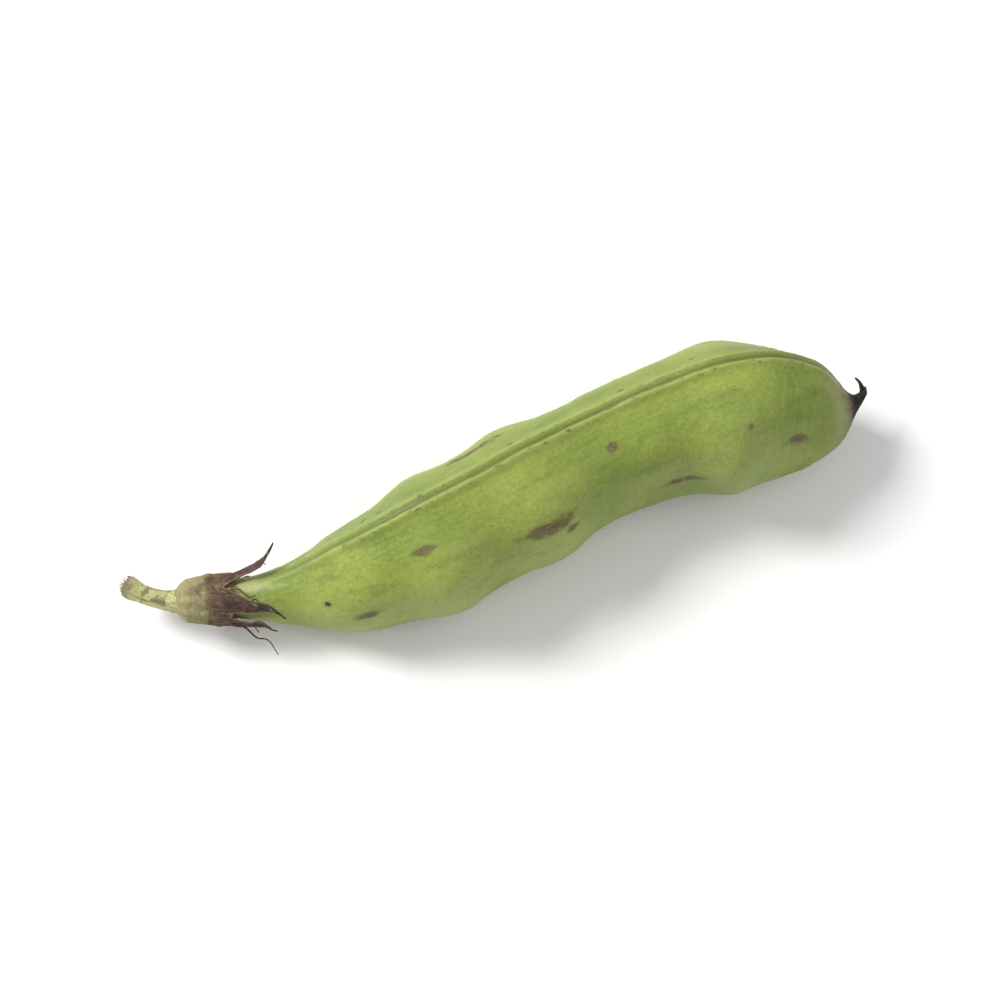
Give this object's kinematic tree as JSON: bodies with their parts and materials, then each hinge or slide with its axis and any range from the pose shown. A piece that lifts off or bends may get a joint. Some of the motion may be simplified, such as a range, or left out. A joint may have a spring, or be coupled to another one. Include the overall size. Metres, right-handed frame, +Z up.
{
  "type": "broad bean pod",
  "caption": "Fresh, closed broad bean pod lying on its side, swollen over its beans, with a beak, a withered calyx and a short broken stalk.",
  "frame": {"origin": "middle of the object's box in plan, on the surface that it lies on", "axes": "+X along the pod from its stem end towards its beak, +Y towards the side that its ventral seam is on, +Z up from the surface"},
  "size_m": [0.1316, 0.0324, 0.0264],
  "materials": {
    "pod_skin": "satin green skin, thinly waxed",
    "calyx_skin": "dry, matt and crinkled",
    "stalk_skin": "matt, ribbed"
  },
  "bodies": {
    "root": {"pod": "pod_skin", "calyx": "calyx_skin", "stalk": "stalk_skin"}
  },
  "joints": []
}
